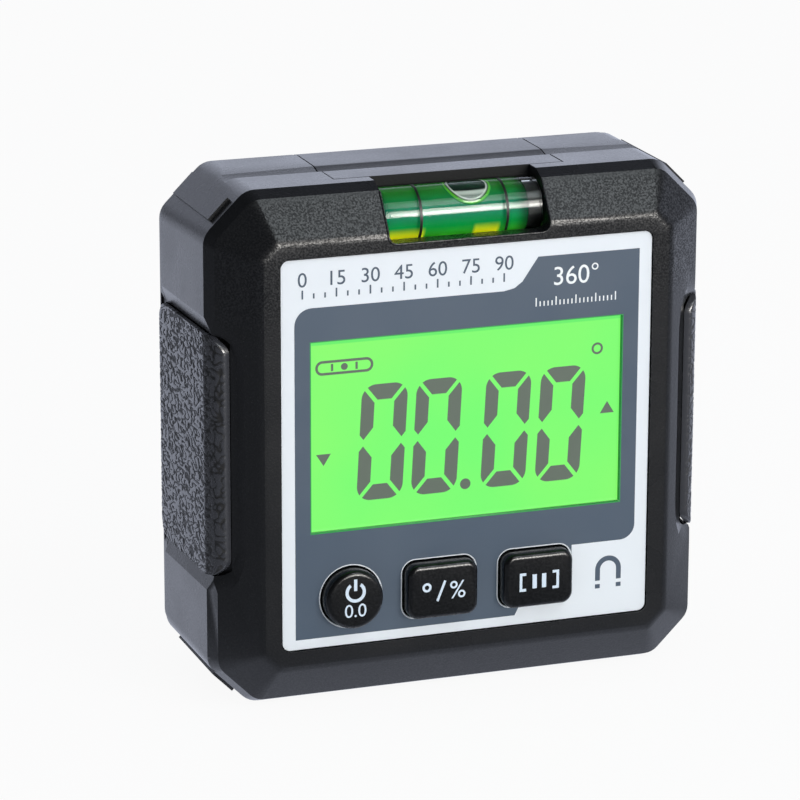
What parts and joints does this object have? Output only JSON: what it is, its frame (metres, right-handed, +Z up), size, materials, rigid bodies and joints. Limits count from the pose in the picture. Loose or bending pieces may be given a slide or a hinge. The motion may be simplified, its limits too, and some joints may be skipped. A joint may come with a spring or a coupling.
{
  "type": "digital angle gauge",
  "caption": "Pocket digital angle gauge: bevelled octagonal black case with a lit display, a key row, a spirit vial in the top edge, wrapped rubber grips and a hinged battery door.",
  "frame": {"origin": "centre of the base footprint, on the resting plane", "axes": "+Z up to the vial, -Y out of the display, +X to the right of the display"},
  "size_m": [0.0576, 0.0264, 0.057],
  "materials": {
    "case_black": "fine grain",
    "panel_white": "printed, satin",
    "display": "lit green",
    "light_guide": "frosted",
    "frame_grey": "moulded",
    "strip_pink": "conductive elastomer",
    "board_green": "solder mask",
    "chip_black": "moulded",
    "can_metal": "satin",
    "switch_grey": "moulded",
    "plunger_ivory": "moulded",
    "button_black": "gloss",
    "vial_clear": "clear",
    "vial_green": "clear liquid",
    "mark_black": "printed",
    "plug_grey": "moulded",
    "grip_rubber": "wrinkled leather grain",
    "magnet_nickel": "plated",
    "cell_wrap": "printed sleeve",
    "contact_nickel": "plated",
    "screw_steel": "zinc plated"
  },
  "bodies": {
    "case": {"front_case": "case_black", "rear_cover": "case_black", "vial_cap": "case_black", "front_panel": "panel_white", "lcd_glass": "display", "backlight": "light_guide", "display_frame": "frame_grey", "lcd_connector": "strip_pink", "circuit_board": "board_green", "controller_chip": "chip_black", "tilt_sensor": "chip_black", "crystal": "can_metal", "power_switch": "switch_grey", "unit_switch": "switch_grey", "hold_switch": "switch_grey", "vial_tube": "vial_clear", "vial_liquid": "vial_green", "vial_rings": "mark_black", "vial_plug": "plug_grey", "left_grip": "grip_rubber", "right_grip": "grip_rubber", "left_magnet": "magnet_nickel", "right_magnet": "magnet_nickel", "left_cell": "cell_wrap", "right_cell": "cell_wrap", "left_spring": "contact_nickel", "right_spring": "contact_nickel", "left_contact": "contact_nickel", "right_contact": "contact_nickel", "bridge_contact": "contact_nickel", "case_screws": "screw_steel", "board_screws": "screw_steel"},
    "power_key": {"power_button": "button_black", "power_plunger": "plunger_ivory"},
    "unit_key": {"unit_button": "button_black", "unit_plunger": "plunger_ivory"},
    "hold_key": {"hold_button": "button_black", "hold_plunger": "plunger_ivory"},
    "door": {"battery_door": "case_black"}
  },
  "joints": [
    {"name": "power_key_press", "type": "slide", "parent": "case", "child": "power_key", "axis": [0, 1, 0], "range_m": [0, 0.0003], "stiffness_N_per_m": 400, "springref_m": -0.002},
    {"name": "unit_key_press", "type": "slide", "parent": "case", "child": "unit_key", "axis": [0, 1, 0], "range_m": [0, 0.0003], "stiffness_N_per_m": 400, "springref_m": -0.002},
    {"name": "hold_key_press", "type": "slide", "parent": "case", "child": "hold_key", "axis": [0, 1, 0], "range_m": [0, 0.0003], "stiffness_N_per_m": 400, "springref_m": -0.002},
    {"name": "door_hinge", "type": "hinge", "parent": "case", "child": "door", "pos_m": [0, 0.01195, 0.0053], "axis": [-1, 0, 0], "range_deg": [0, 85]}
  ]
}
